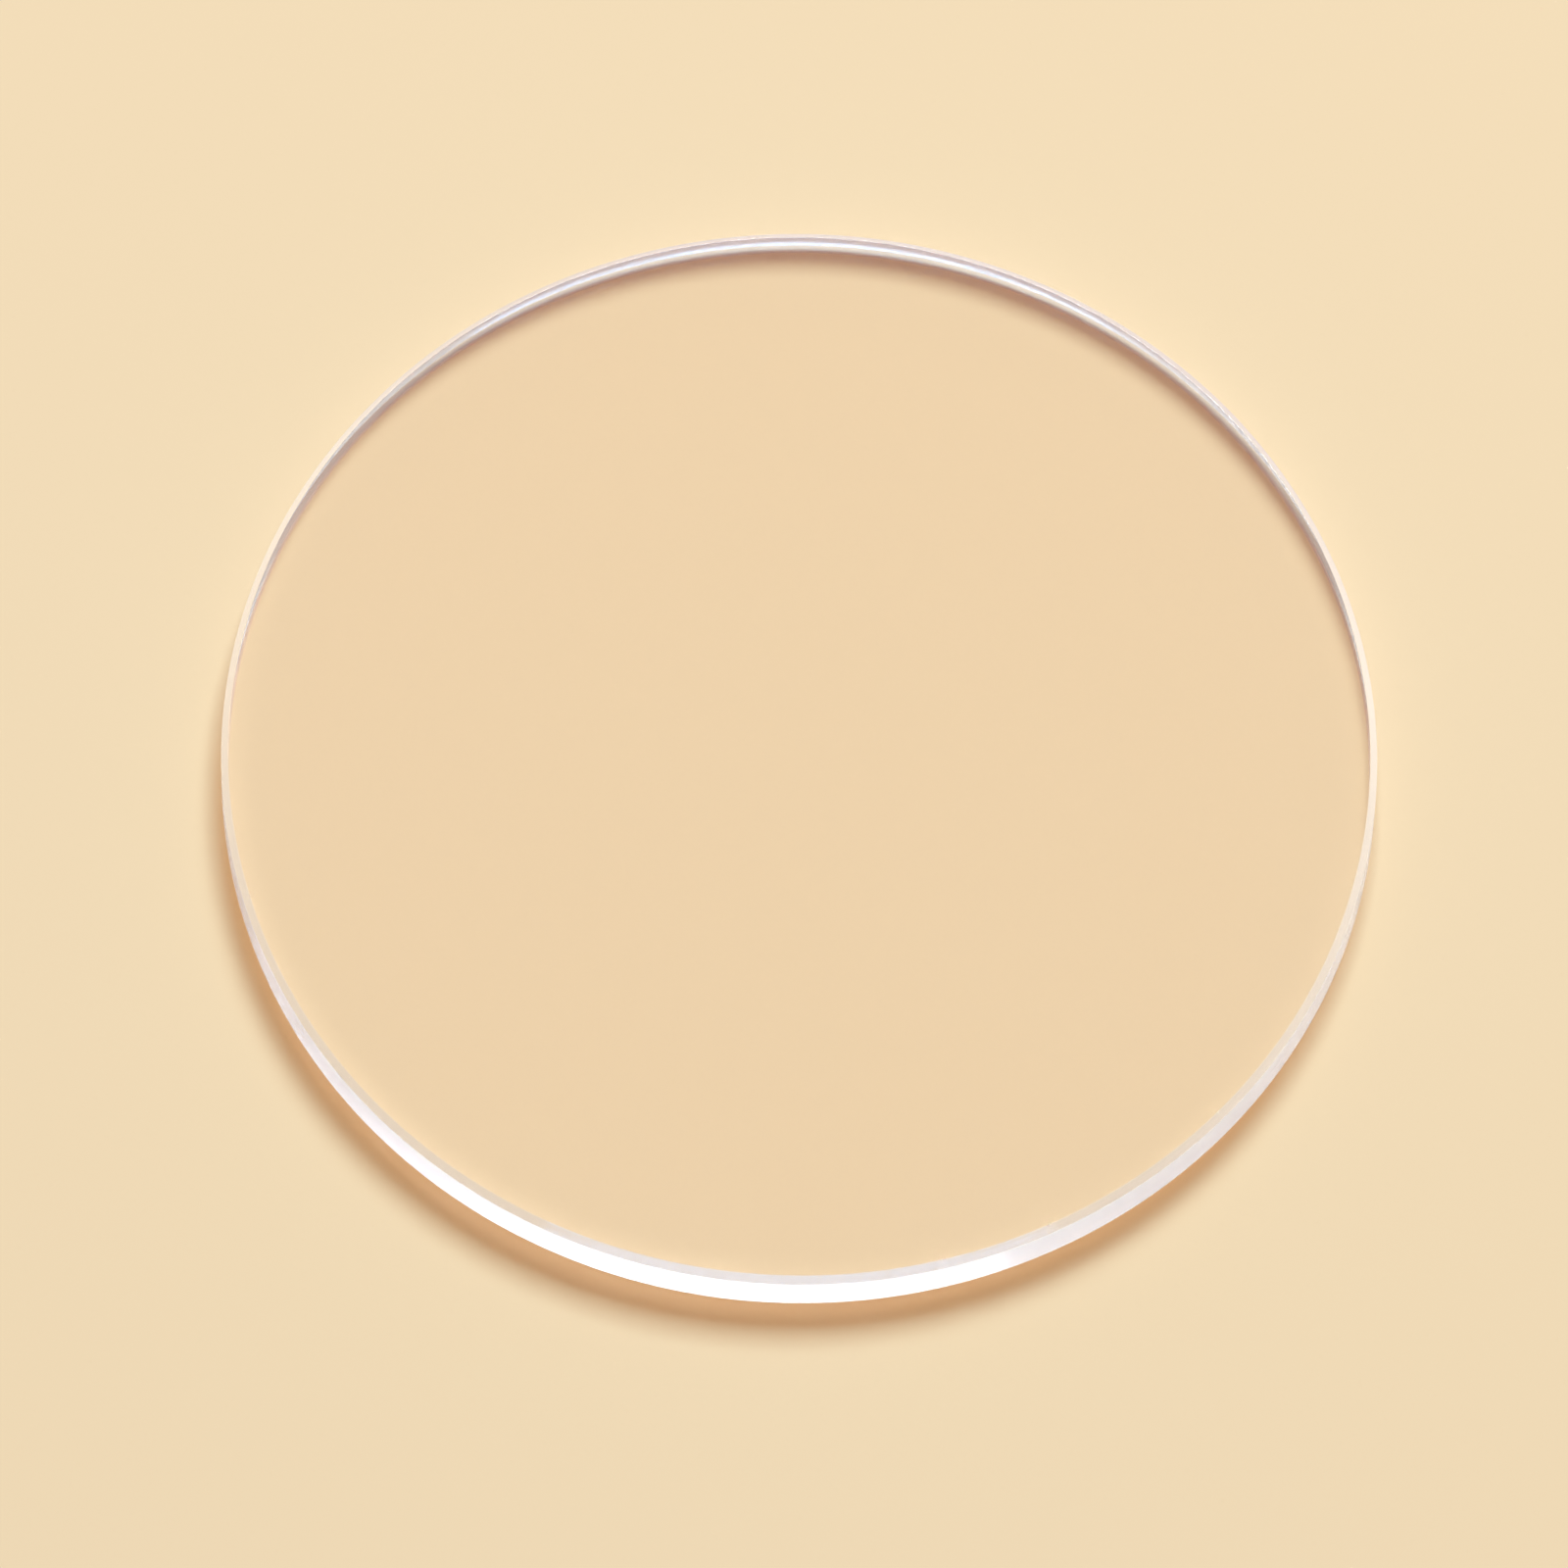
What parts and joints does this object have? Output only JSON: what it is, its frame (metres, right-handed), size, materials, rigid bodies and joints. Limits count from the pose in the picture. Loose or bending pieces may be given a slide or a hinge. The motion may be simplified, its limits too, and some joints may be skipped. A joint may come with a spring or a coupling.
{
  "type": "watch crystal",
  "caption": "Round flat mineral-glass watch crystal: a thin clear disc with polished faces, a plain cylindrical wall and small bevels, which covers a watch's dial.",
  "frame": {"origin": "middle of the underside, the flat face that sits on the case's ledge", "axes": "+Z along the disc's axis, out of the watch towards the viewer; the disc is round, so X and Y are any two directions across it"},
  "size_m": [0.03, 0.03, 0.0015],
  "materials": {
    "mineral_glass": "clear mineral glass, polished faces, finely ground wall and bevels"
  },
  "bodies": {
    "root": {"crystal_disc": "mineral_glass"}
  },
  "joints": []
}
